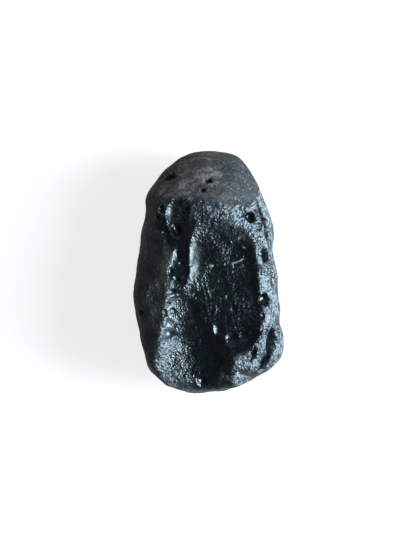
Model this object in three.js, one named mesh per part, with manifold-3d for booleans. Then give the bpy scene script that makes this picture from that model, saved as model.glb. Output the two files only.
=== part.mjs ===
// A tektite: one piece of natural black glass, thrown out molten by a meteorite's impact
// and etched in the ground since. It is an elongated, flattened stone with a hollowed face,
// sharp crests between the hollows, and bubble pits and gouges all over.
// It lies on its flatter side with the hollowed face up.
//
// Millimetres, +Z up, long axis along Y. The origin is on the surface that it lies on,
// under the middle of its outline.
import * as THREE from "three";
import { mergeVertices } from "three/addons/utils/BufferGeometryUtils.js";
import Module from "manifold-3d";

const wasm = await Module();
wasm.setup();

// Driving dimensions
const rimHeight = 8.0; // the widest line round the stone, above the surface it lies on
const crownHeight = 10.6; // the domed side above that line, before its hollows
const bellyDepth = 8.4; // the flatter side below that line, before its rest face is worn
const crownPower = 2.9; // 2 is an ellipse, and more is squarer in the shoulder
const shoulder = 5.0; // how much is added to it where the near end is squarest
const shoulderAzimuth = -125; // in degrees, so on the left of the near end
const bellyPower = 2.5;
const swellHeight = 0.01; // broad lumps, as a share of the distance from the middle
const meshCells = [24, 38, 10]; // faces of the mesh along X, Y and Z
const pitSides = 9; // sides of a pit's round edge
const smallPitSides = 7; // of a pit that is less than smallPit wide
const smallPit = 1.5;
const pitRings = 6;

// The outline seen from above, anticlockwise from the right-hand side
const outlinePoints = [
  [14.05, 0.2], [13.5, 2.3], [13.1, 4.7], [13.45, 7.6], [13.05, 10.8], [11.7, 13.9],
  [10.5, 17.5], [8.2, 21.4], [5.8, 24.1], [0, 25], [-4, 24.4], [-8, 22], [-10.8, 19.1],
  [-12.9, 15.5], [-13, 11.9], [-13.9, 8.7], [-14.2, 5.2], [-14.9, 0], [-15.3, -5],
  [-14.9, -8.8], [-14, -12.4], [-13.1, -16.2], [-12.6, -18.9], [-10.9, -21.1], [-7.4, -23.2],
  [-3.2, -24.7], [0.2, -24.6], [4, -23.9], [7.6, -22.5], [11.8, -20.3], [14.7, -18],
  [15.4, -15.8], [15.4, -13.4], [14.6, -10.3], [14.85, -7.6], [14.2, -4.8],
];

// Broad hollows in the domed side. Each has an edge seen from above, a depth at its middle,
// and a power: 2 is a bowl and more is a flatter floor with a steeper wall.
// The worn face is everything below the smoother cap at the far end.
const wornFace = {
  centre: [0.5, -5],
  depth: 0.6,
  power: 4.5,
  edge: [
    [10.3, 2.1], [9.3, 6.6], [6, 9.8], [2.8, 12], [-1, 13.8], [-5, 15], [-9.3, 14.6],
    [-10.9, 10.4], [-9.2, 5.4], [-8.4, 0.5], [-8.4, -4.1], [-9.2, -8.3], [-10, -12.9],
    [-10.7, -17], [-10.2, -22], [-4, -26.4], [0.6, -26], [3.9, -21.9], [4.9, -18.6],
    [7.9, -16.3], [10.3, -13], [10.9, -7.9], [10.5, -3.7],
  ],
};

// Scoops in the worn face, with a crest where two of them meet
const scoops = [
  {
    // the deep hollow on the right, whose outer crest is the sharpest edge of the stone
    centre: [3.4, -0.6],
    depth: 1.35,
    power: 4.4,
    edge: [
      [10.3, 0.8], [9.3, 4.9], [7.1, 8], [4.4, 10], [1, 10.4], [-2.2, 9.4], [-3.5, 6.6],
      [-3.9, 3], [-4.1, 0.4], [-5.2, -2.6], [-6, -5.6], [-6, -9], [-4.2, -12.4], [-1, -15.2],
      [2.4, -17.2], [5.2, -17.4], [7.6, -16.1], [9.5, -14], [10.7, -11.2], [10.9, -7.4],
      [10.5, -3.7],
    ],
  },
  {
    // the head of the channel on the left
    centre: [-4.2, -9],
    depth: 1.6,
    power: 2.6,
    edge: [
      [-0.6, -9.4], [-1.4, -5.8], [-3.4, -3.8], [-6.2, -3.5], [-8.1, -5], [-9.3, -7.6],
      [-8.8, -9.6], [-9.8, -12.4], [-9.2, -15.6], [-6.4, -18.6], [-2, -18.6], [0.6, -13.6],
    ],
  },
  {
    // the channel itself, which runs out over the near end
    centre: [-1.2, -17],
    depth: 2.8,
    power: 2.5,
    edge: [
      [4.2, -15.4], [1.8, -11.3], [-1.6, -8.6], [-6.4, -8.4], [-9, -10.4], [-9.9, -12.8],
      [-9.7, -14.6], [-10.3, -16.6], [-10.8, -19], [-10.5, -21.6], [-9, -26], [-3.9, -29.6],
      [1.4, -28.4], [4.6, -23.3], [5.2, -18.6],
    ],
  },
  {
    // a trough beside the deep hollow, on its left
    centre: [-5.2, 1],
    depth: 0.5,
    power: 2.2,
    edge: [
      [-3.4, 1.6], [-3.6, 4.6], [-4.6, 7.4], [-6.2, 6.8], [-7.2, 4], [-7.8, 1.6], [-7.8, -1.8],
      [-7, -3.6], [-4.6, -4.6], [-3.2, -1.6],
    ],
  },
  {
    // a trough under the cap, on the left
    centre: [-6.3, 11.4],
    depth: 1.0,
    power: 3.0,
    edge: [
      [-3.9, 11], [-4.1, 13.4], [-5.6, 14.9], [-7.6, 14.4], [-8.6, 12.4], [-8.5, 10.4],
      [-7.6, 8], [-5.6, 6.8], [-4.4, 8.4],
    ],
  },
];

// Broad shallow dents in the flatter side, clear of the rest face
const bellyDents = [
  { at: [8.6, 11.5], radius: 5.2, depth: 1.3 },
  { at: [-9.2, -12.0], radius: 5.6, depth: 1.2 },
  { at: [-9.6, 9.0], radius: 4.4, depth: 0.9 },
  { at: [6.0, -18.5], radius: 4.6, depth: 1.0 },
];

// Pits, dimples and gouges on the domed side. Each is an ellipsoid pressed into the surface:
// where it lies seen from above, half its width and half its length, how deep it goes, and
// the turn of its length from the Y axis, in degrees.
const crownPits = [
  // on the cap
  { at: [-8.4, 19.7], half: [0.75, 0.6], depth: 0.8, turn: 20 },
  { at: [-7.3, 20.2], half: [0.5, 0.5], depth: 0.6, turn: 0 },
  { at: [0.0, 18.6], half: [0.85, 0.5], depth: 0.9, turn: 0 },
  { at: [-1.2, 16.7], half: [0.6, 0.4], depth: 0.6, turn: 0 },
  // below the cap's edge, on the left
  { at: [-10.2, 11.0], half: [0.7, 0.7], depth: 0.6, turn: 0 },
  { at: [-8.7, 8.0], half: [0.8, 0.9], depth: 0.6, turn: 0 },
  { at: [-6.6, 8.6], half: [0.9, 1.3], depth: 0.7, turn: 10 },
  { at: [-7.8, -0.1], half: [0.6, 1.3], depth: 0.4, turn: 0 },
  // on the right-hand band
  { at: [8.5, 11.2], half: [1.1, 1.35], depth: 1.5, turn: 10 },
  { at: [11.2, 10.8], half: [0.4, 4.2], depth: 0.9, turn: 9 },
  { at: [11.3, 3.6], half: [1.15, 1.5], depth: 1.4, turn: 0 },
  { at: [13.0, -1.2], half: [0.4, 1.7], depth: 0.6, turn: 4 },
  { at: [11.6, -5.5], half: [1.25, 1.3], depth: 1.6, turn: 0 },
  { at: [11.1, -8.9], half: [0.45, 0.75], depth: 0.6, turn: 0 },
  { at: [14.4, -11.9], half: [0.6, 0.6], depth: 0.8, turn: 0 },
  { at: [12.9, -14.1], half: [1.45, 2.8], depth: 2.2, turn: 0 },
  { at: [11.4, -18.4], half: [0.85, 2.3], depth: 1.4, turn: -28 },
  { at: [9.1, -16.6], half: [0.5, 1.6], depth: 0.8, turn: -14 },
  // in the deep hollow
  { at: [5.2, 4.2], half: [2.4, 2.2], depth: 0.35, turn: 0 },
  { at: [2.1, -12.0], half: [1.2, 1.6], depth: 0.5, turn: 10 },
  { at: [4.8, -13.4], half: [1.4, 1.4], depth: 0.35, turn: 0 },
  { at: [7.2, -13.0], half: [1.1, 1.1], depth: 0.3, turn: 0 },
  // in and beside the channel
  { at: [-1.3, -22.2], half: [1.2, 1.1], depth: 0.75, turn: 0 },
  { at: [-8.1, -12.4], half: [1.2, 1.15], depth: 0.4, turn: 0 },
  { at: [-8.1, -10.1], half: [0.95, 0.9], depth: 0.35, turn: 0 },
  { at: [-7.2, -7.8], half: [0.8, 0.75], depth: 0.35, turn: 0 },
  // on the left-hand side
  { at: [-10.6, -4.4], half: [2.0, 2.4], depth: 0.3, turn: 0 },
  { at: [-12.0, -13.0], half: [1.2, 1.6], depth: 0.3, turn: 0 },
];

// Pits on the flatter side, spread like the seeds of a sunflower from the rest face outwards
const bellyPits = { count: 15, from: 0.62, to: 0.97, least: 0.7, most: 1.6, depthShare: 0.75 };

const glassColour = new THREE.Color(0.012, 0.014, 0.015);
const goldenAngle = Math.PI * (3 - Math.sqrt(5));

// How far the body reaches from its centre at an azimuth: a smooth closed curve through
// the given points, which are joined by cubics over the azimuth.
function outlineAbout(centre, points) {
  const knots = points
    .map(([x, y]) => ({
      azimuth: Math.atan2(y - centre[1], x - centre[0]),
      radius: Math.hypot(x - centre[0], y - centre[1]),
    }))
    .sort((a, b) => a.azimuth - b.azimuth);
  const count = knots.length;
  const knot = (i) => {
    const turns = Math.floor(i / count);
    const { azimuth, radius } = knots[i - turns * count];
    return { azimuth: azimuth + turns * 2 * Math.PI, radius };
  };
  const slope = (i) => {
    const before = knot(i - 1);
    const after = knot(i + 1);
    return (after.radius - before.radius) / (after.azimuth - before.azimuth);
  };
  return (azimuth) => {
    const next = knots.findIndex((k) => k.azimuth > azimuth);
    const i = (next < 0 ? count : next) - 1;
    const [a, b] = [knot(i), knot(i + 1)];
    const span = b.azimuth - a.azimuth;
    const t = (azimuth - a.azimuth) / span;
    return (
      a.radius * (2 * t ** 3 - 3 * t ** 2 + 1) +
      b.radius * (3 * t ** 2 - 2 * t ** 3) +
      slope(i) * span * (t ** 3 - 2 * t ** 2 + t) +
      slope(i + 1) * span * (t ** 3 - t ** 2)
    );
  };
}

const rimRadius = outlineAbout([0, 0], outlinePoints);
for (const hollow of [wornFace, ...scoops]) {
  hollow.edgeRadius = outlineAbout(hollow.centre, hollow.edge);
}

// The depth of one hollow at a place seen from above
function cutDepth({ centre, depth, power, edgeRadius }, x, y) {
  const crestSoftness = 0.08;
  const [dx, dy] = [x - centre[0], y - centre[1]];
  const share = Math.hypot(dx, dy) / edgeRadius(Math.atan2(dy, dx));
  const inside = 1 - share ** power;
  return (depth * (inside + Math.hypot(inside, crestSoftness))) / 2;
}

// The worn face and the deepest scoop there, rounded a little where two scoops meet
function hollowDepth(x, y) {
  const sharpness = 8;
  const total = scoops.reduce((sum, scoop) => sum + cutDepth(scoop, x, y) ** sharpness, 0);
  return cutDepth(wornFace, x, y) + total ** (1 / sharpness);
}

function dentDepth(x, y) {
  return bellyDents.reduce((sum, { at, radius, depth }) => {
    const share = Math.hypot(x - at[0], y - at[1]) / radius;
    return sum + depth * Math.max(0, 1 - share ** 2) ** 2;
  }, 0);
}

// Broad lumps over the whole stone, as waves in three directions
function swell(p) {
  const waves =
    Math.sin(0.52 * p.x + 0.21 * p.y + 0.4) * Math.cos(0.33 * p.y - 0.4 * p.z + 1.1) +
    0.6 * Math.sin(0.61 * p.y - 0.35 * p.x + 0.5 * p.z + 2.3) +
    0.5 * Math.sin(0.9 * p.x + 0.7 * p.z + 0.55 * p.y + 4.0);
  return swellHeight * waves;
}

// The height of the crown (side 1) or the belly (-1), and its power at an azimuth
function sideOf(side, azimuth) {
  if (side < 0) return [bellyDepth, bellyPower];
  const facing = Math.max(0, Math.cos(azimuth - THREE.MathUtils.degToRad(shoulderAzimuth)));
  return [crownHeight, crownPower + shoulder * facing ** 2];
}

// The point of the stone in a direction from the middle of its widest line. The body is
// rounded from its outline to a crown and a belly, then swollen, hollowed and dented.
function stonePoint(direction) {
  const d = direction.clone().normalize();
  const azimuth = Math.atan2(d.y, d.x);
  const [height, power] = sideOf(d.z > 0 ? 1 : -1, azimuth);
  const across = Math.hypot(d.x, d.y) / rimRadius(azimuth);
  const reach = (across ** power + (Math.abs(d.z) / height) ** power) ** (-1 / power);
  const p = d.multiplyScalar(reach);
  const rise = Math.abs(p.z) / height;
  const inward = THREE.MathUtils.smoothstep(rise, 0.05, 0.5);
  p.multiplyScalar(1 + swell(p) * (0.3 + 0.7 * inward));
  p.z -= p.z > 0 ? hollowDepth(p.x, p.y) * inward : -dentDepth(p.x, p.y) * inward;
  p.z += rimHeight;
  return p;
}

// The direction that leads to a place seen from above, on the crown or the belly
function directionTo(x, y, side) {
  const azimuth = Math.atan2(y, x);
  const [height, power] = sideOf(side, azimuth);
  const share = Math.min(Math.hypot(x, y) / rimRadius(azimuth), 0.999);
  return new THREE.Vector3(x, y, side * height * (1 - share ** power) ** (1 / power));
}

// A place on the stone with the surface's own directions there: across, along and out
function surfaceFrame(x, y, side, turn) {
  const step = 0.7;
  const at = (dx, dy) => stonePoint(directionTo(x + dx, y + dy, side));
  const slopeX = at(step, 0).sub(at(-step, 0));
  const slopeY = at(0, step).sub(at(0, -step));
  const out = slopeX.cross(slopeY).normalize().multiplyScalar(side);
  const heading = THREE.MathUtils.degToRad(turn);
  const along = new THREE.Vector3(-Math.sin(heading), Math.cos(heading), 0);
  along.addScaledVector(out, -along.dot(out)).normalize();
  const across = new THREE.Vector3().crossVectors(along, out);
  return new THREE.Matrix4().makeBasis(across, along, out).setPosition(at(0, 0));
}

function solidOf(geometry) {
  const bare = geometry.clone();
  bare.deleteAttribute("normal");
  bare.deleteAttribute("uv");
  const merged = mergeVertices(bare, 1e-4);
  return new wasm.Manifold(
    new wasm.Mesh({
      numProp: 3,
      vertProperties: merged.attributes.position.array,
      triVerts: new Uint32Array(merged.index.array),
    }),
  );
}

function geometryOf(solid) {
  const { vertProperties, triVerts } = solid.getMesh();
  const geometry = new THREE.BufferGeometry();
  geometry.setAttribute("position", new THREE.BufferAttribute(vertProperties, 3));
  geometry.setIndex(new THREE.BufferAttribute(triVerts, 1));
  const faceted = geometry.toNonIndexed();
  faceted.computeVertexNormals();
  return faceted;
}

// The body without its pits: a box of faces drawn out onto the stone
function bodyGeometry() {
  const [nx, ny, nz] = meshCells;
  const box = new THREE.BoxGeometry(2, 2, 2, nx, ny, nz);
  const places = box.attributes.position;
  const corner = new THREE.Vector3();
  const quarter = Math.PI / 4;
  for (let i = 0; i < places.count; i++) {
    corner.fromBufferAttribute(places, i);
    // tangents even out the faces, and the stone's own proportions stretch them
    corner.set(Math.tan(corner.x * quarter), Math.tan(corner.y * quarter), Math.tan(corner.z * quarter));
    corner.multiply(new THREE.Vector3(1.25, 2.0, 0.85));
    const p = stonePoint(corner);
    places.setXYZ(i, p.x, p.y, p.z);
  }
  return box;
}

// An ellipsoid in a surface's own directions, which sinks `depth` below it
function pitGeometry({ half, depth }, frame) {
  const lift = 0.25 * Math.min(half[0], depth);
  const sides = 2 * half[0] < smallPit ? smallPitSides : pitSides;
  const ball = new THREE.SphereGeometry(1, sides, pitRings);
  const spread = 1 / Math.sqrt(1 - (lift / (depth + lift)) ** 2);
  ball.rotateX(Math.PI / 2);
  ball.scale(half[0] * spread, half[1] * spread, depth + lift);
  ball.translate(0, 0, lift);
  return ball.applyMatrix4(frame);
}

function crownPitSolids() {
  return crownPits.map((pit) =>
    solidOf(pitGeometry(pit, surfaceFrame(pit.at[0], pit.at[1], 1, pit.turn))),
  );
}

function bellyPitSolids() {
  const { count, from, to, least, most, depthShare } = bellyPits;
  return Array.from({ length: count }, (_, k) => {
    const azimuth = THREE.MathUtils.euclideanModulo(k * goldenAngle + Math.PI, 2 * Math.PI) - Math.PI;
    const share = from + (to - from) * Math.sqrt((k + 0.5) / count);
    const radius = least + (most - least) * ((k * 0.618) % 1);
    const reach = share * rimRadius(azimuth);
    const frame = surfaceFrame(reach * Math.cos(azimuth), reach * Math.sin(azimuth), -1, 40 * k);
    return solidOf(pitGeometry({ half: [radius, radius * 1.3], depth: radius * depthShare }, frame));
  });
}

// Everything above the surface that the stone lies on
function aboveRestFace() {
  const room = 80;
  return solidOf(new THREE.BoxGeometry(room, room, room).translate(0, 0, room / 2));
}

function makeTektite() {
  let solid = solidOf(bodyGeometry());
  for (const pit of [...crownPitSolids(), ...bellyPitSolids()]) solid = solid.subtract(pit);
  solid = solid.intersect(aboveRestFace());
  const geometry = geometryOf(solid);
  geometry.computeBoundingBox();
  const middle = geometry.boundingBox.getCenter(new THREE.Vector3());
  geometry.translate(-middle.x, -middle.y, 0);
  const glass = new THREE.MeshStandardMaterial({ color: glassColour, roughness: 0.35, metalness: 0 });
  const mesh = new THREE.Mesh(geometry, glass);
  mesh.name = "tektite";
  return mesh;
}

const group = new THREE.Group();
group.add(makeTektite());

export default group;
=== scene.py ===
# A tektite on a pale table, seen straight from above: its worn surface, its glass and a plain studio.
# The stone's own sizes are in millimetres, as its solid was drawn, and Blender's are in metres.
import math

import bpy
import numpy as np
from mathutils import Euler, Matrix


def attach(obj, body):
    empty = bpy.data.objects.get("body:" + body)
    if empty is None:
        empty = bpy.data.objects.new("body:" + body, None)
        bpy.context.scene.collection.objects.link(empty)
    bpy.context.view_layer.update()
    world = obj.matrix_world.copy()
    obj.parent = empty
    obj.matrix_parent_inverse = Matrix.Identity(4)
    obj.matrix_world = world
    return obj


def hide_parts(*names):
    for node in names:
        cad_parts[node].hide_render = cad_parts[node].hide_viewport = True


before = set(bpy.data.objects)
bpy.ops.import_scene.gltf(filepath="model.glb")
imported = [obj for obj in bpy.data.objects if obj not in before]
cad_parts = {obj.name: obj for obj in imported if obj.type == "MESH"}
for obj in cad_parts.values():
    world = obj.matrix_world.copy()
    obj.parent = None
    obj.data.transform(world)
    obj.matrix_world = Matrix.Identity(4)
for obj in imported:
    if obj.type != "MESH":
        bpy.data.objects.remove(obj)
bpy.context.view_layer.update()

mm = 0.001
goldenAngle = math.pi * (3 - math.sqrt(5))
latticeTurn = (0.6, 0.5, 0.3)  # turns the noise's cells off the flat, so they leave no contour lines
turned = np.array(Euler(latticeTurn).to_matrix()).T

body = {
    "rimHeight": 8.0,  # the widest line round the stone, above the table
    "crownHeight": 10.6,  # the domed side above that line, before its hollows
    "bellyDepth": 8.4,  # the flatter side below it, before its rest face is worn
    "crownPower": 2.9,  # 2 is an ellipse, more is squarer in the shoulder
    "shoulder": 5.0,  # how much is added to it on the left of the near end
    "shoulderAzimuth": -125,
    "bellyPower": 2.5,
    "swellHeight": 0.010,  # broad lumps, as a share of the distance from the middle
    "stray": [(0.35, 3.5), (0.12, 1.3)],  # how far the hollows' edges wander, and over what width
    "inward": (0.05, 0.5),  # heights, as shares, between which the hollows come in
    "cells": (128, 204, 70),  # faces of the mesh along X, Y and Z
    "stretch": (1.25, 2.0, 0.85),  # of the box that the mesh starts from, so its faces come out even
    # the outline from above, anticlockwise from the right-hand side
    "outline": [
        (14.05, 0.2), (13.5, 2.3), (13.1, 4.7), (13.45, 7.6), (13.05, 10.8), (11.7, 13.9),
        (10.5, 17.5), (8.2, 21.4), (5.8, 24.1), (0.0, 25.0), (-4.0, 24.4), (-8.0, 22.0),
        (-10.8, 19.1), (-12.9, 15.5), (-13.0, 11.9), (-13.9, 8.7), (-14.2, 5.2), (-14.9, 0.0),
        (-15.3, -5.0), (-14.9, -8.8), (-14.0, -12.4), (-13.1, -16.2), (-12.6, -18.9),
        (-10.9, -21.1), (-7.4, -23.2), (-3.2, -24.7), (0.2, -24.6), (4.0, -23.9), (7.6, -22.5),
        (11.8, -20.3), (14.7, -18.0), (15.4, -15.8), (15.4, -13.4), (14.6, -10.3), (14.85, -7.6),
        (14.2, -4.8),
    ],
}

# broad hollows: an edge from above, the depth at the middle, and a power that steepens the wall
wornFace = {  # the whole worn face, below the smoother cap
    "centre": (0.5, -5), "depth": 0.6, "power": 4.5,
    "edge": [
        (10.3, 2.1), (9.3, 6.6), (6.0, 9.8), (2.8, 12.0), (-1.0, 13.8), (-5.0, 15.0),
        (-9.3, 14.6), (-10.9, 10.4), (-9.2, 5.4), (-8.4, 0.5), (-8.4, -4.1), (-9.2, -8.3),
        (-10.0, -12.9), (-10.7, -17.0), (-10.2, -22.0), (-4.0, -26.4), (0.6, -26.0), (3.9, -21.9),
        (4.9, -18.6), (7.9, -16.3), (10.3, -13.0), (10.9, -7.9), (10.5, -3.7),
    ],
}
scoops = [  # cut into the worn face, with a crest where two of them meet
    {  # the deep hollow on the right, with the sharpest crest of the stone
        "centre": (3.4, -0.6), "depth": 1.35, "power": 4.4,
        "edge": [
            (10.3, 0.8), (9.3, 4.9), (7.1, 8.0), (4.4, 10.0), (1.0, 10.4), (-2.2, 9.4),
            (-3.5, 6.6), (-3.9, 3.0), (-4.1, 0.4), (-5.2, -2.6), (-6.0, -5.6), (-6.0, -9.0),
            (-4.2, -12.4), (-1.0, -15.2), (2.4, -17.2), (5.2, -17.4), (7.6, -16.1), (9.5, -14.0),
            (10.7, -11.2), (10.9, -7.4), (10.5, -3.7),
        ],
    },
    {  # the head of the channel on the left
        "centre": (-4.2, -9.0), "depth": 1.6, "power": 2.6,
        "edge": [
            (-0.6, -9.4), (-1.4, -5.8), (-3.4, -3.8), (-6.2, -3.5), (-8.1, -5.0), (-9.3, -7.6),
            (-8.8, -9.6), (-9.8, -12.4), (-9.2, -15.6), (-6.4, -18.6), (-2.0, -18.6), (0.6, -13.6),
        ],
    },
    {  # the channel itself, running out over the near end
        "centre": (-1.2, -17.0), "depth": 2.8, "power": 2.5,
        "edge": [
            (4.2, -15.4), (1.8, -11.3), (-1.6, -8.6), (-6.4, -8.4), (-9.0, -10.4), (-9.9, -12.8),
            (-9.7, -14.6), (-10.3, -16.6), (-10.8, -19.0), (-10.5, -21.6), (-9.0, -26.0),
            (-3.9, -29.6), (1.4, -28.4), (4.6, -23.3), (5.2, -18.6),
        ],
    },
    {  # a trough beside the deep hollow, on its left
        "centre": (-5.2, 1.0), "depth": 0.5, "power": 2.2,
        "edge": [
            (-3.4, 1.6), (-3.6, 4.6), (-4.6, 7.4), (-6.2, 6.8), (-7.2, 4.0), (-7.8, 1.6),
            (-7.8, -1.8), (-7.0, -3.6), (-4.6, -4.6), (-3.2, -1.6),
        ],
    },
    {  # a trough under the cap, on the left
        "centre": (-6.3, 11.4), "depth": 1.0, "power": 3.0,
        "edge": [
            (-3.9, 11.0), (-4.1, 13.4), (-5.6, 14.9), (-7.6, 14.4), (-8.6, 12.4), (-8.5, 10.4),
            (-7.6, 8.0), (-5.6, 6.8), (-4.4, 8.4),
        ],
    },
]

# broad shallow dents in the flatter side
bellyDents = [
    {"at": (8.6, 11.5), "radius": 5.2, "depth": 1.3},
    {"at": (-9.2, -12.0), "radius": 5.6, "depth": 1.2},
    {"at": (-9.6, 9.0), "radius": 4.4, "depth": 0.9},
    {"at": (6.0, -18.5), "radius": 4.6, "depth": 1.0},
]

# pits, dimples and gouges on the domed side: place from above, half width and half length, depth,
# and the turn of the length from the Y axis in degrees
crownPits = [
    ((-8.2, 19.3), (0.8, 0.7), 1.0, 20),  # on the cap
    ((-7.3, 19.5), (0.55, 0.6), 0.8, 0),
    ((-0.1, 18.3), (0.85, 0.5), 0.9, 0),
    ((-1.2, 16.7), (0.6, 0.35), 0.6, 0),
    ((-10.2, 11.0), (0.7, 0.7), 0.6, 0),  # below the cap's edge, on the left
    ((-8.7, 8.0), (0.8, 0.9), 0.6, 0),
    ((-6.6, 8.6), (0.9, 1.3), 0.7, 10),
    ((-4.2, 12.6), (0.5, 0.6), 0.5, 0),
    ((-7.8, -0.1), (0.6, 1.3), 0.4, 0),
    ((-6.6, -1.4), (0.6, 0.9), 0.35, 25),
    ((-6.3, 3.2), (0.7, 1.3), 0.35, 8),
    ((-5.6, 1.7), (0.6, 0.6), 0.3, 0),
    ((-7.3, -4.0), (0.9, 0.8), 0.35, 0),
    ((-9.6, 12.8), (0.6, 0.8), 0.5, 0),
    ((8.5, 11.2), (1.1, 1.35), 1.5, 10),  # on the right-hand band
    ((11.1, 10.8), (0.55, 4.4), 1.3, 9),
    ((11.3, 3.6), (1.15, 1.5), 1.4, 0),
    ((13.0, -1.2), (0.4, 1.7), 0.6, 4),
    ((11.6, -5.5), (1.25, 1.3), 1.6, 0),
    ((11.1, -8.9), (0.45, 0.75), 0.6, 0),
    ((14.4, -11.9), (0.6, 0.6), 0.8, 0),
    ((12.9, -14.1), (1.45, 2.8), 2.2, 0),
    ((11.4, -18.4), (0.85, 2.3), 1.4, -28),
    ((9.1, -16.6), (0.5, 1.6), 0.8, -14),
    ((5.2, 4.2), (2.4, 2.2), 0.35, 0),  # in the deep hollow
    ((2.1, -12.0), (1.2, 1.6), 0.5, 10),
    ((4.8, -13.4), (1.4, 1.4), 0.3, 0),
    ((4.1, -5.0), (0.7, 0.8), 0.2, 0),
    ((5.0, -7.6), (0.8, 0.7), 0.2, 0),
    ((7.2, -13.0), (1.1, 1.1), 0.22, 0),
    ((-1.3, -22.2), (1.2, 1.1), 0.75, 0),  # in and beside the channel
    ((-8.1, -12.4), (1.2, 1.15), 0.34, 0),
    ((-8.1, -10.1), (0.95, 0.9), 0.28, 0),
    ((-7.2, -7.8), (0.8, 0.75), 0.3, 0),
    ((-8.9, -8.3), (0.5, 0.8), 0.25, 10),
    ((-8.0, -6.4), (0.55, 0.5), 0.25, 0),
    ((-10.8, 5.0), (1.6, 2.0), 0.15, 10),  # on the left-hand side
    ((-10.6, -4.4), (2.0, 2.4), 0.2, 0),
    ((-13.7, -8.1), (0.45, 0.5), 0.5, 0),
    ((-12.0, -13.0), (1.2, 1.6), 0.3, 0),
]

# pits on the flatter side, spread like a sunflower's seeds from the rest face outwards: shares of
# the way to the outline, then least and most radius, the length over the width, and the depth over
# the radius
bellyPits = {
    "count": 15, "from": 0.62, "to": 0.97, "least": 0.7, "most": 1.6, "long": 1.3, "depthShare": 0.75,
}

pitForm = {
    "ragged": [(0.16, 0.9, 5), (0.10, 0.4, 6)],  # noise on the edge: its share, width and seed
    "wall": ((0.5, 1.0), (1.0, 0.5)),  # depth over half width, and the bowl's power there
    "lip": (0.03, 1.15, 0.15),  # height over the pit's depth, then place and width as shares
    "freshWidth": (1.9, 1.3),  # half widths between which a pit turns from worn to fresh inside
    "freshDepth": (0.6, 1.0),  # depths over half width that do the same for a wide pit
    "dimple": (0.3, 0.6),  # below the first depth over half width, it keeps the finish round it
    "freshEdge": (1.02, 0.85),  # shares of the way out between which the fresh glass begins
    "reach": (1.6, 1.5),  # the share that the lip ends within, and how far above or below it is, mm
}


def smoothStep(value, low, high):  # 0 below low, 1 above high, and 3t squared less 2t cubed between
    t = np.clip((value - low) / (high - low), 0, 1)
    return t * t * (3 - 2 * t)


def outlineAbout(centre, points):
    # a closed curve, as radius over azimuth: a cubic between each two points, whose slope at a
    # point is the slope between its two neighbours
    offset = np.array(points, float) - np.array(centre, float)
    azimuth, radius = np.arctan2(offset[:, 1], offset[:, 0]), np.hypot(offset[:, 0], offset[:, 1])
    order = np.argsort(azimuth)
    azimuth, radius = azimuth[order], radius[order]
    turn = 2 * np.pi
    azimuth = np.concatenate([azimuth[-2:] - turn, azimuth, azimuth[:2] + turn])
    radius = np.concatenate([radius[-2:], radius, radius[:2]])
    slope = np.zeros_like(radius)
    slope[1:-1] = (radius[2:] - radius[:-2]) / (azimuth[2:] - azimuth[:-2])

    def radiusAt(angle):
        i = np.searchsorted(azimuth, angle, side="right") - 1
        span = azimuth[i + 1] - azimuth[i]
        t = (angle - azimuth[i]) / span
        return (
            radius[i] * (2 * t**3 - 3 * t**2 + 1)
            + radius[i + 1] * (3 * t**2 - 2 * t**3)
            + slope[i] * span * (t**3 - 2 * t**2 + t)
            + slope[i + 1] * span * (t**3 - t**2)
        )

    return radiusAt


rimRadius = outlineAbout((0, 0), body["outline"])
for hollow in [wornFace, *scoops]:
    hollow["edgeRadius"] = outlineAbout(hollow["centre"], hollow["edge"])


def hollowShare(hollow, x, y):  # distance from a hollow's middle over the way to its edge
    dx, dy = x - hollow["centre"][0], y - hollow["centre"][1]
    return np.hypot(dx, dy) / hollow["edgeRadius"](np.arctan2(dy, dx))


def cutDepth(hollow, x, y):  # depth times one less share to a power, cut off softly at zero
    crestSoftness = 0.08
    inside = 1 - np.minimum(hollowShare(hollow, x, y), 3) ** hollow["power"]
    return hollow["depth"] * (inside + np.hypot(inside, crestSoftness)) / 2


def hollowDepth(x, y):
    # the worn face and the deepest scoop there: the eighth root of the sum of eighth powers, which
    # rounds the crest between two scoops a little
    sharpness = 8
    total = sum(cutDepth(scoop, x, y) ** sharpness for scoop in scoops)
    return cutDepth(wornFace, x, y) + total ** (1 / sharpness)


def dentDepth(x, y):  # sum of depth times one less the squared share of the radius, squared
    total = np.zeros_like(x)
    for dent in bellyDents:
        share = np.hypot(x - dent["at"][0], y - dent["at"][1]) / dent["radius"]
        total += dent["depth"] * np.maximum(0, 1 - share**2) ** 2
    return total


def swell(p):  # broad lumps: a sum of sines of plane waves across the stone
    x, y, z = p.T
    waves = (
        np.sin(0.52 * x + 0.21 * y + 0.4) * np.cos(0.33 * y - 0.4 * z + 1.1)
        + 0.6 * np.sin(0.61 * y - 0.35 * x + 0.5 * z + 2.3)
        + 0.5 * np.sin(0.9 * x + 0.7 * z + 0.55 * y + 4.0)
    )
    return body["swellHeight"] * waves


def crownPowerAt(azimuth):  # more on one side, by the square of the cosine of the angle from it
    facing = np.maximum(0, np.cos(azimuth - math.radians(body["shoulderAzimuth"])))
    return body["crownPower"] + body["shoulder"] * facing**2


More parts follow.
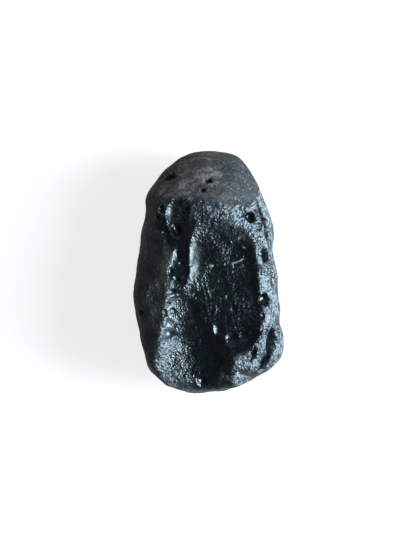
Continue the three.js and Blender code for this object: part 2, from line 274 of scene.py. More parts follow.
def stonePoint(direction):
    # the stone's point in each direction from the middle of its widest line: a superellipse from
    # the outline up to the crown or down to the belly, swollen, then hollowed or dented
    d = direction / np.linalg.norm(direction, axis=1, keepdims=True)
    top = d[:, 2] > 0
    azimuth = np.arctan2(d[:, 1], d[:, 0])
    height = np.where(top, body["crownHeight"], body["bellyDepth"])
    power = np.where(top, crownPowerAt(azimuth), body["bellyPower"])
    across = np.hypot(d[:, 0], d[:, 1]) / rimRadius(azimuth)
    reach = (across**power + (np.abs(d[:, 2]) / height) ** power) ** (-1 / power)
    p = d * reach[:, None]
    inward = smoothStep(np.abs(p[:, 2]) / height, *body["inward"])
    p = p * (1 + swell(p) * (0.3 + 0.7 * inward))[:, None]
    x, y = p[:, 0].copy(), p[:, 1].copy()
    for n, (far, width) in enumerate(body["stray"]):
        x += far * softNoise(p, width, 3 + 4 * n)
        y += far * softNoise(p, width, 4 + 4 * n)
    depth = np.where(top, hollowDepth(x, y), -dentDepth(x, y))
    p[:, 2] += body["rimHeight"] - depth * inward
    return p


def directionTo(x, y, side):  # to a place seen from above, on the crown (1) or the belly (-1)
    azimuth = math.atan2(y, x)
    height = body["crownHeight"] if side > 0 else body["bellyDepth"]
    power = float(crownPowerAt(azimuth)) if side > 0 else body["bellyPower"]
    share = min(math.hypot(x, y) / float(rimRadius(azimuth)), 0.999)
    return [x, y, side * height * (1 - share**power) ** (1 / power)]


def surfaceFrame(x, y, side, turn):  # a place on the stone, and rows across, along and out there
    step = 0.7
    around = [(0, 0), (step, 0), (-step, 0), (0, step), (0, -step)]
    at = stonePoint(np.array([directionTo(x + dx, y + dy, side) for dx, dy in around]))
    out = side * np.cross(at[1] - at[2], at[3] - at[4])
    out /= np.linalg.norm(out)
    heading = math.radians(turn)
    along = np.array([-math.sin(heading), math.cos(heading), 0.0])
    along -= out * (along @ out)
    along /= np.linalg.norm(along)
    return at[0], np.array([np.cross(along, out), along, out])


def allPits():  # every pit as a place, its directions, its half sizes and its depth
    made = [(*surfaceFrame(*at, 1, turn), half, depth) for at, half, depth, turn in crownPits]
    spread = bellyPits
    for k in range(spread["count"]):
        azimuth = (k * goldenAngle + math.pi) % (2 * math.pi) - math.pi
        outwards = math.sqrt((k + 0.5) / spread["count"])
        reach = spread["from"] + (spread["to"] - spread["from"]) * outwards
        reach *= float(rimRadius(azimuth))
        radius = spread["least"] + (spread["most"] - spread["least"]) * ((k * 0.618) % 1)
        place = surfaceFrame(reach * math.cos(azimuth), reach * math.sin(azimuth), -1, 40 * k)
        made.append((*place, (radius, radius * spread["long"]), radius * spread["depthShare"]))
    return made


def pressPits(points, pits):
    # sinks each pit by its depth times a power of one less the squared share of its half sizes:
    # 1 is a round bowl, for shallow pits, and less has a steeper wall, for deep ones; a low lip
    # lies just outside, and noise in the share keeps each edge from being a true ellipse. It also
    # gives how fresh the glass is, which is 1 inside a small or deep pit, where nothing has worn it
    moved, fresh = points.copy(), np.zeros(len(points))
    ragged = 1 + sum(share * softNoise(points, width, seed) for share, width, seed in pitForm["ragged"])
    lipHeight, lipPlace, lipWidth = pitForm["lip"]
    widest, highest = pitForm["reach"]
    for centre, axes, half, depth in pits:
        local = (points - centre) @ axes.T
        share = np.hypot(local[:, 0] / half[0], local[:, 1] / half[1]) * ragged
        near = (share < widest) & (np.abs(local[:, 2]) < highest + depth)
        s = share[near]
        steepness = depth / half[0]
        bowl = depth * np.maximum(0, 1 - s**2) ** np.interp(steepness, *pitForm["wall"])
        lip = lipHeight * depth * np.exp(-(((s - lipPlace) / lipWidth) ** 2))
        moved[near] += axes[2] * (lip - bowl)[:, None]
        small = smoothStep(half[0], *pitForm["freshWidth"])
        deep = smoothStep(steepness, *pitForm["freshDepth"])
        unworn = max(small, deep) * smoothStep(steepness, *pitForm["dimple"])
        fresh[near] = np.maximum(fresh[near], unworn * smoothStep(s, *pitForm["freshEdge"]))
    return moved, fresh


relief = {
    "lumps": (0.10, 2.2),  # height and width of soft lumps, mm
    "grain": (0.05, 0.8),
    "rougher": {"cap": -0.5, "band": 0.5, "face": 0.3},  # what each finish adds to both heights
    # bubbles: cell size, share of cells with one, least and most radius, and depth over radius
    "bubbles": [(2.6, 0.45, 0.4, 0.85, 0.35), (1.3, 0.5, 0.25, 0.5, 0.5)],
    "bubbly": {"all": 0.35, "band": 1.1, "face": 0.65, "cap": -0.2},  # their depth on each finish
    "smoothed": {"grain": 0.7, "bubbles": 0.8},  # how much of each the smooth glass does without
    # fine ridges down the deep hollow's left wall: half width, height and where each one runs
    "ridges": (0.22, 0.10, [
        [(-2.9, -1.0), (-2.3, -3.6), (-1.7, -5.6)],
        [(-1.5, -1.8), (-0.8, -4.2), (-0.4, -6.6), (-0.2, -9.0)],
        [(-0.6, -2.0), (0.1, -4.6), (0.4, -7.0)],
        [(1.4, -6.4), (1.1, -8.4), (1.2, -10.2)],
    ]),
}


def hashOf(cell, seed):  # a number from 0 to 1 for each whole-numbered cell, the same on every run
    x, y, z = (cell[:, k].astype(np.uint64) for k in range(3))
    h = x * np.uint64(73856093) ^ y * np.uint64(19349663) ^ z * np.uint64(83492791)
    h ^= np.uint64(seed * 2654435761)
    h ^= h >> np.uint64(13)
    h *= np.uint64(1274126177)
    h ^= h >> np.uint64(16)
    return (h & np.uint64(0xFFFFFF)).astype(float) / 0xFFFFFF


def softNoise(points, width, seed):
    # from -1 to 1: hashed corners of a lattice, blended along each axis by 6t^5 - 15t^4 + 10t^3
    shifted = points @ turned / width + 1000
    cell = np.floor(shifted)
    t = shifted - cell
    t = t * t * t * (t * (t * 6 - 15) + 10)
    total = np.zeros(len(points))
    for corner in np.ndindex(2, 2, 2):
        weight = np.prod(np.where(corner, t, 1 - t), axis=1)
        total += weight * hashOf(cell + corner, seed)
    return 2 * total - 1


def bubbleDepth(points, size, share, least, most, depthShare, seed):
    # bubbles scattered one to a cell, in the middle part of it: the deepest of the bowls that a
    # point lies in, each its depth times a power of one less the squared share of its radius
    points = points @ turned
    base = np.floor(points / size + 1000)
    depth = np.zeros(len(points))
    for step in np.ndindex(3, 3, 3):
        cell = base + step - 1
        jitter = np.stack([hashOf(cell, seed + k) for k in range(3)], 1)
        centre = (cell + 0.2 + 0.6 * jitter - 1000) * size
        radius = least + (most - least) * hashOf(cell, seed + 3) ** 2
        there = hashOf(cell, seed + 4) < share
        s = np.linalg.norm(points - centre, axis=1) / radius
        depth = np.maximum(depth, there * depthShare * radius * np.maximum(0, 1 - s**2) ** 0.7)
    return depth


def ridgeHeight(points):
    # height times a bell over the distance across the stone from a line along it, fading at its
    # ends, and bent a little by noise
    width, height, lines = relief["ridges"]
    bend, bendWidth, past, into = 0.2, 1.2, 0.5, 1.0
    x, y = points[:, 0] + bend * softNoise(points, bendWidth, 32), points[:, 1]
    total = np.zeros(len(points))
    for line in lines:
        at, along = np.array(line)[::-1].T
        fade = smoothStep(y, along[0] - past, along[0] + into)
        fade *= 1 - smoothStep(y, along[-1] - into, along[-1] + past)
        total += height * np.exp(-(((x - np.interp(y, along, at)) / width) ** 2)) * fade
    return total * (points[:, 2] > body["rimHeight"])


def vertexNormals(points, quads):  # the sum of the areas of the faces round each point
    a, b, c, d = (points[quads[:, k]] for k in range(4))
    face = np.cross(c - a, d - b)
    normals = np.zeros_like(points)
    for k in range(4):
        for axis in range(3):
            normals[:, axis] += np.bincount(quads[:, k], face[:, axis], len(points))
    return normals / np.linalg.norm(normals, axis=1, keepdims=True)


def boxGrid(cells):
    # six grids of two parameters, one for each side of a box, sewn where they meet, with
    # corners from -1 to 1
    cells = np.array(cells)
    lattices, quads, offset = [], [], 0
    for axis in range(3):
        u, v = (axis + 1) % 3, (axis + 2) % 3
        a, b = np.meshgrid(np.arange(cells[u] + 1), np.arange(cells[v] + 1), indexing="ij")
        for end in (0, 1):
            lattice = np.zeros(a.shape + (3,), int)
            lattice[..., u], lattice[..., v], lattice[..., axis] = a, b, end * cells[axis]
            number = offset + np.arange(a.size).reshape(a.shape)
            quad = np.stack([number[:-1, :-1], number[1:, :-1], number[1:, 1:], number[:-1, 1:]], -1)
            quads.append(quad.reshape(-1, 4) if end else quad.reshape(-1, 4)[:, ::-1])
            lattices.append(lattice.reshape(-1, 3))
            offset += a.size
    corners, index = np.unique(np.concatenate(lattices), axis=0, return_inverse=True)
    return corners / cells * 2 - 1, index.reshape(-1)[np.concatenate(quads)]


zoneLines = {  # where each finish ends, in mm
    "capFoot": [
        (-14, 13.2), (-10, 14.8), (-5, 15.0), (-2, 14.8), (1, 14.2), (4, 13.2), (6, 13.6), (8, 13.2),
        (9.4, 14.4), (10.2, 16.4), (13, 24),
    ],
    "ledgeFoot": [
        (-6, 17), (-4, 14.4), (-2, 13.0), (0, 12.4), (2, 11.2), (4, 10.0), (5.4, 8.6), (8, 6),
    ],
    "leftCrest": [
        (-26, -7.0), (-23, -9.0), (-19, -10.7), (-16.6, -10.3), (-14.6, -9.3), (-12.8, -9.9),
        (-10.4, -8.9), (-8.4, -9.4), (-6.4, -8.2), (-4.6, -7.2), (-2.5, -7.6), (-1, -8.6),
        (0.6, -8.2), (3, -7.4), (6, -8.6), (9, -10.6), (13.5, -10.8), (16, -12),
    ],
    "rightCrest": [
        (-26, 0.5), (-23, 2.2), (-19, 3.5), (-17, 5.8), (-14, 10.0), (-11, 11.2), (-7, 10.5),
        (-3, 10.2), (1, 10.1), (5.5, 8.7), (7.5, 7.0), (9.5, 5.2), (11, 4.0), (14, 3.0), (18, -6),
    ],
}

# specks of pale grit in the deep hollow: place from above, half width and half length, turn
grit = [
    ((0.6, 1.3), (0.4, 0.25), 0), ((2.9, 4.0), (0.15, 0.15), 0), ((3.8, 4.0), (0.15, 0.2), 0),
    ((4.1, 4.6), (0.12, 0.2), -30), ((6.2, 7.0), (0.22, 0.35), 0), ((3.3, 1.6), (0.15, 0.15), 0),
    ((7.2, 5.0), (0.12, 0.4), 60), ((5.4, 1.95), (0.13, 0.8), -72), ((6.6, 2.45), (0.12, 0.7), -58),
]

# duller places on the band: place from above, half width and half length, turn
dullPlaces = [
    ((8.2, -20.6), (3.2, 0.8), -20), ((3.6, -22.6), (1.2, 0.8), -10), ((9.6, -16.6), (0.9, 1.5), -10),
    ((11.6, -20.6), (2.2, 0.9), 30), ((10.1, 9.3), (0.9, 1.4), 0), ((10.6, -4.6), (0.7, 0.9), 0),
    ((13.0, -1.4), (0.5, 1.8), 0), ((14.2, -12.0), (0.6, 0.6), 0), ((8.0, -15.2), (1.6, 0.8), 30),
    ((7.0, 11.9), (0.5, 0.8), 0), ((9.7, 12.6), (0.6, 0.5), 0),
]

# smoother, softly shining places: place from above, half width and half length, turn
satinPlaces = [
    ((-2.6, 2.6), (1.6, 4.2), 4), ((-7.8, 11.8), (0.9, 1.8), 0), ((12.4, 11.2), (0.9, 5.0), 7),
    ((-2.5, -22.3), (0.8, 1.4), 0), ((-8.1, -10.2), (1.1, 1.1), 0), ((-8.1, -12.4), (1.3, 1.3), 0),
    ((-7.6, -5.4), (1.0, 2.4), 0), ((-6.6, 2.0), (0.8, 3.0), 0), ((-7.4, -1.4), (0.8, 1.6), 10),
]

zoneForm = {  # in mm; a pair is where a finish starts and where it is full
    "wander": [(0.5, 2.0, 71), (0.3, 0.8, 72)],  # how far borders stray, over what width, and seed
    "capEdge": (-0.5, 1.0),  # distances past each line
    "leftEdge": (-0.4, 0.8),
    "bandEdge": (-0.9, 1),
    "ledgeEdge": (-0.8, 0.8),
    "underside": (2.0, 7.0),  # heights between which it gives way to the finishes on top
    "capBorder": ((3, 9), (4.5, 1)),  # heights, and how many times wider the cap's border is there
    "frostSide": (5.0, 9.5),  # heights between which the frosting comes in
    "frostBelow": 0.12,  # how much of it is left on the sides below
    "bandBorder": ((-18.5, -15), (1.8, 0.35)),  # places along Y, and the softness of its edge there
    "face": (6.5, 10.5),  # places along Y where the upper face turns grainy
    "channelFace": 0.45,  # how grainy the channel's left wall is, then where: in from the crest, and Y
    "channelIn": (6.5, 3.5), "channelAlong": (-3, -7),
    "crest": 0.9,  # how much of the band's pale colour, a painted highlight, the near left crest takes, then where: in from it, and along Y
    "crestIn": (4.2, 0.4), "crestAlong": (-9, -14),
    "crestReach": ((-23, -19), (1.5, 1)),  # places along Y, and how many times further it reaches in
    "dull": 0.85,  # how much of the frosting a duller place takes away
    "inPits": 0.03,  # how much of every finish there is in a fresh pit
}


def placesOn(points, places, inner=0.6, outer=1.3):
    # 1 inside any of the ellipses and 0 clear of them all, by a smooth step over the share of the
    # way out
    there = np.zeros(len(points))
    for (x, y), half, turn in places:
        c, s = math.cos(math.radians(turn)), math.sin(math.radians(turn))
        dx, dy = points[:, 0] - x, points[:, 1] - y
        share = np.hypot((c * dx + s * dy) / half[0], (c * dy - s * dx) / half[1])
        there = np.maximum(there, 1 - smoothStep(share, inner, outer))
    return there * (points[:, 2] > body["rimHeight"])


def zonesOf(points):
    # how much there is of each finish, from 0 to 1, from smooth steps over the distance to the
    # lines above: the etched cap, the matte left side and underside, the frosted band on the right
    # with the ledge below the cap, whose pale colour is partly a painted highlight, the near left
    # crest, whose pale colour is a painted highlight, the grainy upper face, the smoother places
    # and the grit
    form = zoneForm
    x, y, z = points.T
    wander = sum(far * softNoise(points, width, seed) for far, width, seed in form["wander"])
    capFoot, ledgeFoot, leftCrest, rightCrest = (np.array(line).T for line in zoneLines.values())

    wide = np.interp(z, *form["capBorder"])
    cap = smoothStep((y + wide * wander - np.interp(x, *capFoot)) / wide, *form["capEdge"])
    inside = x + wander - np.interp(y, *leftCrest)
    left = smoothStep(np.interp(y, *leftCrest) - x + wander, *form["leftEdge"]) * (1 - cap)

    soft = np.interp(y, *form["bandBorder"])
    right = smoothStep((x + wander - np.interp(y, *rightCrest)) / soft, *form["bandEdge"])
    ledge = smoothStep(y + 1.2 * wander - np.interp(x, *ledgeFoot), *form["ledgeEdge"])
    above = smoothStep(z + 2 * wander, *form["frostSide"])
    band = np.maximum(right, ledge) * (form["frostBelow"] + (1 - form["frostBelow"]) * above)
    band *= (1 - cap) * (1 - left)
    left = np.maximum(left, (1 - smoothStep(z, *form["underside"])) * (1 - band) * (1 - cap))

    face = smoothStep(y + 2 * wander + 0.25 * x, *form["face"])
    wall = smoothStep(inside, *form["channelIn"]) * smoothStep(y, *form["channelAlong"])
    face = np.maximum(face, form["channelFace"] * wall) * (1 - cap) * (1 - left) * (1 - band)

    # the near left crest joins the band for its pale colour: a painted highlight where the window falls
    # on its wall
    reach = np.interp(y, *form["crestReach"])
    crest = smoothStep(inside / reach, *form["crestIn"]) * smoothStep(y, *form["crestAlong"])
    band = np.maximum(band, form["crest"] * crest * (1 - left))
    dull = placesOn(points + 0.6 * wander[:, None], dullPlaces, inner=0.5)
    satin = placesOn(points, satinPlaces) * (1 - cap) * (1 - left)
    return {
        "cap": cap, "left": left, "band": band * (1 - form["dull"] * dull), "face": face,
        "satin": satin, "grit": placesOn(points, grit),
    }


def tektiteSurface():
    # the form and its pits, then lumps, bubbles and grain along the surface's own normals, and
    # the flat worn on the underside
    corners, quads = boxGrid(body["cells"])
    direction = np.tan(corners * math.pi / 4) * np.array(body["stretch"])
    points, fresh = pressPits(stonePoint(direction), allPits())
    kept = 1 - (1 - zoneForm["inPits"]) * fresh
    zones = {name: amount * kept for name, amount in zonesOf(points).items()}
    zones["pit"] = fresh
    normals = vertexNormals(points, quads)
    lumpHeight, lumpWidth = relief["lumps"]
    grainHeight, grainWidth = relief["grain"]
    rough = 1 + sum(more * zones[name] for name, more in relief["rougher"].items())
    height = lumpHeight * softNoise(points, lumpWidth, 11) * rough
    grainy = 1 - relief["smoothed"]["grain"] * np.maximum(fresh, zones["satin"])
    height += grainHeight * softNoise(points, grainWidth, 23) * rough * grainy
    height += ridgeHeight(points)
    deeper = relief["bubbly"]
    bubbly = deeper["all"] + np.maximum(deeper["band"] * zones["band"], deeper["face"] * zones["face"])
    bubbly += deeper["cap"] * zones["cap"]
    bubbly *= 1 - relief["smoothed"]["bubbles"] * zones["satin"]
    for n, bubble in enumerate(relief["bubbles"]):
        height -= bubbleDepth(points, *bubble, seed=40 + 10 * n) * bubbly
    points = points + normals * height[:, None]
    points[:, 2] = np.maximum(points[:, 2], 0)
    return points, quads, zones


def makeTektite():  # the surface as a mesh over the table's middle, with each finish as an attribute
    points, quads, zones = tektiteSurface()
    low, high = points.min(0), points.max(0)
    points = points - [(low[0] + high[0]) / 2, (low[1] + high[1]) / 2, 0]
    mesh = bpy.data.meshes.new("tektiteStone")
    mesh.from_pydata((points * mm).tolist(), [], quads.tolist())
    for name, values in zones.items():
        mesh.attributes.new(name, "FLOAT", "POINT").data.foreach_set("value", values.astype(np.float32))
    mesh.polygons.foreach_set("use_smooth", [True] * len(quads))
    mesh.update()
    stone = bpy.data.objects.new("tektiteStone", mesh)
    bpy.context.scene.collection.objects.link(stone)
    size = np.ptp(points, axis=0).round(2)
    print("stone:", len(points), "points,", 2 * len(quads), "triangles,", size, "mm")
    return stone


def addNode(tree, kind, inputs=None, **settings):  # a node, with values or links on its inputs
    node = tree.nodes.new(kind)
    for key, value in settings.items():
        setattr(node, key, value)
    for key, value in (inputs or {}).items():
        if isinstance(value, bpy.types.NodeSocket):
            tree.links.new(value, node.inputs[key])
        else:
            node.inputs[key].default_value = value
    return node


def calc(tree, operation, *values):  # one step of arithmetic on sockets or numbers
    return addNode(tree, "ShaderNodeMath", dict(enumerate(values)), operation=operation).outputs[0]


def blend(tree, share, first, second):  # first where the share is 0, second where it is 1
    node = addNode(tree, "ShaderNodeMix", {0: share, 6: first, 7: second}, data_type="RGBA")
    return node.outputs[2]


def etchedPits():
    # a round bowl in every cell: the squared distance to the nearest cell's middle, over soft
    # noise of the same width; Width, Depth, Grain and Height are in millimetres
    group = bpy.data.node_groups.new("etchedPits", "ShaderNodeTree")
    group.interface.new_socket("Vector", in_out="INPUT", socket_type="NodeSocketVector")
    for name in ("Width", "Depth", "Grain"):
        group.interface.new_socket(name, in_out="INPUT", socket_type="NodeSocketFloat")
    group.interface.new_socket("Height", in_out="OUTPUT", socket_type="NodeSocketFloat")
    into, out = group.nodes.new("NodeGroupInput"), group.nodes.new("NodeGroupOutput")
    place = into.outputs["Vector"]
    scale = calc(group, "DIVIDE", 1000.0, into.outputs["Width"])
    cells = addNode(group, "ShaderNodeTexVoronoi", {"Vector": place, "Scale": scale})
    overEdge = 1.6  # brings the distance to about 1 at a cell's edge
    away = calc(group, "MULTIPLY", cells.outputs["Distance"], overEdge)
    bowl = calc(group, "MULTIPLY", away, away)
    noise = addNode(group, "ShaderNodeTexNoise", {"Vector": place, "Scale": scale, "Detail": 1.0})
    height = calc(
        group, "MULTIPLY_ADD", bowl, into.outputs["Depth"],
        calc(group, "MULTIPLY", noise.outputs["Fac"], into.outputs["Grain"]),
    )
    group.links.new(height, out.inputs["Height"])
    return group


glass = {
    "black": (0.0022, 0.0024, 0.0040, 1),
    "green": (0.003, 0.0055, 0.0042, 1),
    "olive": (0.006, 0.010, 0.006, 1),  # the matte left side
    "plum": (0.024, 0.020, 0.018, 1),
    "etched": (0.058, 0.048, 0.042, 1),  # the cap
    "etchedPale": (0.225, 0.176, 0.149, 1),
    "frosted": (0.014, 0.016, 0.018, 1),  # the band
    # the band's pale frost: partly a real frosted finish, partly a painted highlight whose blue stands
    # in for the window's reflection
    "paleFrostAndSheen": (0.215, 0.236, 0.250, 1),
    "paintedGlint": (0.16, 0.18, 0.20, 1),  # painted glints, pale blue, on the right of the cap
    "grit": (0.30, 0.29, 0.23, 1),
    # patches of noise: its width in mm, its detail, the part of its range that is used, and what
    # the two ends of that part turn into
    "greenPatches": (4.0, 2.0, 0.48, 0.62, 0, 1),
    "plumPatches": (3.2, 4.0, 0.42, 0.58, 0, 1),
    "frostPatches": (2.4, 2.0, 0.42, 0.56, 0.15, 1),
    "frostFlecks": (0.6, 2.0, 0.42, 0.60, 0.18, 1),
    "flowPatches": (4.5, 2.0, 0.35, 0.6, 0.35, 1),
    "capShade": (0.45, 3.0, 0.36, 0.52, 0.6, 0),
    "paintedGlints": (0.42, 1.0, 0.58, 0.68, 0, 0.9),
    "paintedGlintPatches": (1.6, 2.0, 0.42, 0.56, 0.15, 1),
    "roughness": (0.5, 2.0, 0.38, 0.62, 0.19, 0.36),
    "wear": (2.4, 2.0, 0.35, 0.65, 0.7, 1.4),
    "faceFrostAndSheen": 0.2,  # how much pale frost colour the upper face takes: partly real frosting, partly painted sheen
    "capRight": (-1, 7.5),  # places along X where the cap's colour turns from brown to black, painted shade on the side that faces the window, with painted glints
    "capRightShade": 0.96,  # how far it turns, as painted shade
    # what each finish adds to the roughness
    "duller": {
        "frosted": 0.34, "face": 0.03, "left": 0.16, "cap": 0.54, "capRight": -0.10, "grit": 0.4,
        "satin": 0.04,
    },
    "finePits": (0.42, 0.028, 0.036),  # width, depth and grain, mm
    "widePits": (0.9, 0.07, 0.12),
    "wideShare": 0.7,  # how much of the wide pits there is to the fine ones, where it is coarser
    "coarser": {"face": 0.9, "band": 1.5, "left": 0.45},  # how much of both pits each finish adds
    "smoother": {"cap": -0.5, "pit": -0.75, "satin": -0.85},  # and how much each one takes away
    "flowWidth": 0.9,  # of the flow streaks on the cap, mm
    "flowLength": 3.5,  # less draws them out further
    "flowCentre": (1.0, 2.0),
    "flowBend": (3.5, 3.0),  # width of the noise that bends them, and how far
    "flowShown": (0.45, 0.61),  # the part of their noise that turns pale
    "flowRaised": (0.16, -0.12),  # their height, and what is added to it on the cap's right, mm
}


def tektiteGlass():  # one glass, whose colour, gloss and fine relief follow the finishes and the noise
    material = bpy.data.materials.new("tektiteGlass")
    material.use_nodes = True
    tree = material.node_tree
    shader = tree.nodes["Principled BSDF"]
    onStone = addNode(tree, "ShaderNodeTexCoord").outputs["Object"]
    place = addNode(tree, "ShaderNodeMapping", {0: onStone, 2: latticeTurn}).outputs[0]
    cap, left, band, face, satin, grit, pit = (
        addNode(tree, "ShaderNodeAttribute", attribute_name=name).outputs["Fac"]
        for name in ("cap", "left", "band", "face", "satin", "grit", "pit")
    )

    def times(first, second):  # their product
        return calc(tree, "MULTIPLY", first, second)

    def plus(value, factor, rest):  # value times factor, plus the rest
        return calc(tree, "MULTIPLY_ADD", value, factor, rest)

    def noiseAt(width, detail=2.0):  # from 0 to 1, with features of a width in mm
        inputs = {"Vector": place, "Scale": 1000 / width, "Detail": detail}
        return addNode(tree, "ShaderNodeTexNoise", inputs).outputs["Fac"]

    def ranged(value, low, high, start, end):  # a value's range turned into another, and held
        inputs = {0: value, 1: low, 2: high, 3: start, 4: end}
        return addNode(tree, "ShaderNodeMapRange", inputs).outputs[0]

    def patches(name):  # the noise of that name in the glass's own values
        width, detail, *ends = glass[name]
        return ranged(noiseAt(width, detail), *ends)

    # flow streaks: noise over the radius and the angle about a point below the cap, drawn out
    # along the angle and bent by broader noise
    middle = (-glass["flowCentre"][0] * mm, -glass["flowCentre"][1] * mm, 0)
    centred = addNode(tree, "ShaderNodeMapping", {0: onStone, 1: middle}).outputs[0]
    across, along, up = addNode(tree, "ShaderNodeSeparateXYZ", {0: centred}).outputs
    radius = calc(tree, "SQRT", plus(across, across, times(along, along)))
    bendWidth, bend = glass["flowBend"]
    bent = plus(noiseAt(bendWidth), bend * mm, radius)
    angle = times(calc(tree, "ARCTAN2", along, across), glass["flowLength"] * mm)
    streaked = addNode(tree, "ShaderNodeCombineXYZ", {0: bent, 1: angle, 2: up}).outputs[0]
    flow = addNode(
        tree, "ShaderNodeTexNoise",
        {"Vector": streaked, "Scale": 1000 / glass["flowWidth"], "Detail": 4.0, "Roughness": 0.65},
    ).outputs["Fac"]

    pits = etchedPits()

    def pitsOf(width, depth, grain):  # the height of fine pits of that size, in mm
        node = addNode(tree, "ShaderNodeGroup", node_tree=pits)
        tree.links.new(place, node.inputs["Vector"])
        for name, value in (("Width", width), ("Depth", depth), ("Grain", grain)):
            node.inputs[name].default_value = value
        return node.outputs["Height"]

    # colour
    tint = blend(tree, patches("greenPatches"), glass["black"], glass["green"])
    mottled = blend(tree, patches("plumPatches"), glass["olive"], glass["plum"])
    tint = blend(tree, left, tint, mottled)
    patchy = times(patches("frostPatches"), patches("frostFlecks"))
    # pale frost on the band and upper face: partly real frosting, partly a painted highlight
    frostAndSheen = blend(tree, patchy, glass["frosted"], glass["paleFrostAndSheen"])
    tint = blend(tree, plus(face, glass["faceFrostAndSheen"], band), tint, frostAndSheen)
    lines = times(ranged(flow, *glass["flowShown"], 0, 1), patches("flowPatches"))
    crust = blend(tree, lines, glass["etched"], glass["etchedPale"])
    # painted shade: the cap's colour turns darker towards the right, where the window falls on it
    start, end = (edge - glass["flowCentre"][0] for edge in glass["capRight"])
    toRight = ranged(across, start * mm, end * mm, 0, 1)
    crust = blend(tree, times(toRight, glass["capRightShade"]), crust, glass["frosted"])
    crust = blend(tree, patches("capShade"), crust, glass["black"])
    # painted glints: pale blue dots on the cap's right, in place of sparkle from the window
    paintedGlints = times(times(patches("paintedGlints"), toRight), patches("paintedGlintPatches"))
    colour = blend(tree, cap, tint, blend(tree, paintedGlints, crust, glass["paintedGlint"]))
    colour = blend(tree, grit, colour, glass["grit"])
    tree.links.new(colour, shader.inputs["Base Color"])

    # gloss
    roughness = patches("roughness")
    finishes = {
        "frosted": times(band, patchy), "face": face, "left": left, "cap": cap,
        "capRight": times(cap, toRight), "grit": grit, "satin": satin,
    }
    for name, amount in finishes.items():
        roughness = plus(amount, glass["duller"][name], roughness)
    tree.links.new(roughness, shader.inputs["Roughness"])

    # relief finer than the mesh, in mm
    fine, wide = pitsOf(*glass["finePits"]), pitsOf(*glass["widePits"])
    worn = times(fine, patches("wear"))
    coarse = plus(face, glass["coarser"]["face"], times(band, glass["coarser"]["band"]))
    coarse = plus(left, glass["coarser"]["left"], coarse)
    height = plus(plus(wide, glass["wideShare"], fine), coarse, worn)
    for name, amount in (("cap", cap), ("pit", pit), ("satin", satin)):
        height = times(height, plus(amount, glass["smoother"][name], 1.0))
    raised, raisedRight = glass["flowRaised"]
    height = plus(flow, times(cap, plus(toRight, raisedRight, raised)), height)
    bump = addNode(tree, "ShaderNodeBump", {"Height": height, "Strength": 1.0, "Distance": mm})
    tree.links.new(bump.outputs[0], shader.inputs["Normal"])
    shader.inputs["IOR"].default_value = 1.5
    return material


studio = {
    "viewHeight": 0.45,  # from the widest line of the stone up to the lens
    "pictureHeight": 0.1147,  # what the picture takes in along Y at that line
    "lookAt": (-0.0002, -0.0011),
    "sensor": 36.0,
    "tableHalf": 4.0,
    "paper": (0.30, 0.26, 0.235, 1),  # warm, so that the cool window leaves it neutral
    "paperGlow": 0.14,  # what it adds to the light from below
    "paperSeen": 0.80,  # its glow where the camera sees it, so that the picture's ground is white
    "zenith": (0.060, 0.076, 0.110, 1),  # the room overhead
    "horizon": (0.20, 0.21, 0.22, 1),  # and at the sides
    "rise": (0.15, 0.75),  # heights in the sky between which one turns into the other
    "seenAir": (0.86, 0.87, 0.88, 1),  # what the camera sees behind the table
    # softboxes: azimuth (0 is +X, 90 is +Y), elevation, distance, size, radiance and colour
    "window": (-4, 25, 0.6, (0.30, 0.46), 32.0, (0.66, 0.87, 1.0)),
    "wall": (95, 40, 0.6, (0.5, 0.35), 0.6, (0.75, 0.90, 1.0)),
}


def makeCamera():  # looks straight down, and its lens is the sensor times height over picture
    data = bpy.data.cameras.new("camera")
    data.sensor_width = studio["sensor"]
    data.lens = studio["sensor"] * studio["viewHeight"] / studio["pictureHeight"]
    camera = bpy.data.objects.new("camera", data)
    camera.location = (*studio["lookAt"], studio["viewHeight"] + body["rimHeight"] * mm)
    bpy.context.scene.collection.objects.link(camera)
    bpy.context.scene.camera = camera


def softbox(name, azimuth, elevation, distance, size, radiance, colour):
    # faces the stone from an azimuth and an elevation in degrees; its power is the radiance times
    # pi times its area
    data = bpy.data.lights.new(name, "AREA")
    data.shape = "RECTANGLE"
    data.size, data.size_y = size
    data.energy = radiance * math.pi * size[0] * size[1]
    data.color = colour
    lamp = bpy.data.objects.new(name, data)
    a, e = math.radians(azimuth), math.radians(elevation)
    place = np.array([math.cos(a) * math.cos(e), math.sin(a) * math.cos(e), math.sin(e)])
    lamp.location = place * distance
    lamp.rotation_euler = (math.pi / 2 - e, 0, a + math.pi / 2)
    bpy.context.scene.collection.objects.link(lamp)


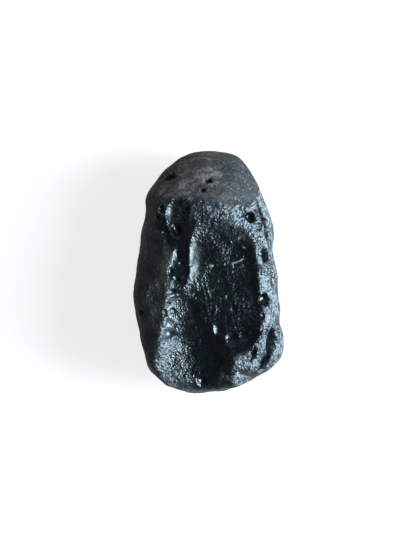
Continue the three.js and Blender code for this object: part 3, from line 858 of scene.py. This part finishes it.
def makeRoom():  # dark overhead and paler towards the horizon, and pale where the camera sees it
    world = bpy.data.worlds.new("room")
    bpy.context.scene.world = world
    world.use_nodes = True
    tree = world.node_tree
    toward = addNode(tree, "ShaderNodeTexCoord").outputs["Generated"]
    up = addNode(tree, "ShaderNodeSeparateXYZ", {0: toward}).outputs["Z"]
    low, high = studio["rise"]
    rise = addNode(tree, "ShaderNodeMapRange", {0: up, 1: low, 2: high}).outputs[0]
    air = blend(tree, rise, studio["horizon"], studio["zenith"])
    seen = addNode(tree, "ShaderNodeLightPath").outputs["Is Camera Ray"]
    air = blend(tree, seen, air, studio["seenAir"])
    tree.links.new(air, tree.nodes["Background"].inputs["Color"])


def makeTable():  # a flat square of pale paper, which glows more where the camera sees it
    half = studio["tableHalf"]
    corners = [(-half, -half, 0), (half, -half, 0), (half, half, 0), (-half, half, 0)]
    mesh = bpy.data.meshes.new("table")
    mesh.from_pydata(corners, [], [(0, 1, 2, 3)])
    table = bpy.data.objects.new("table", mesh)
    bpy.context.scene.collection.objects.link(table)
    paper = bpy.data.materials.new("paper")
    paper.use_nodes = True
    shader = paper.node_tree.nodes["Principled BSDF"]
    shader.inputs["Base Color"].default_value = studio["paper"]
    shader.inputs["Roughness"].default_value = 0.9
    shader.inputs["Specular IOR Level"].default_value = 0.1
    shader.inputs["Emission Color"].default_value = (1, 1, 1, 1)
    seen = addNode(paper.node_tree, "ShaderNodeLightPath").outputs["Is Camera Ray"]
    brighter = studio["paperSeen"] - studio["paperGlow"]
    glow = calc(paper.node_tree, "MULTIPLY_ADD", seen, brighter, studio["paperGlow"])
    paper.node_tree.links.new(glow, shader.inputs["Emission Strength"])
    mesh.materials.append(paper)


makeCamera()
softbox("window", *studio["window"])
softbox("wall", *studio["wall"])
makeRoom()
makeTable()
bpy.context.scene.view_settings.view_transform = "Standard"
print("studio: camera, two softboxes and a table")

stone = makeTektite()
stone.data.materials.append(tektiteGlass())
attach(stone, "root")
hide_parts("tektite")
print("stone: placed on the table")
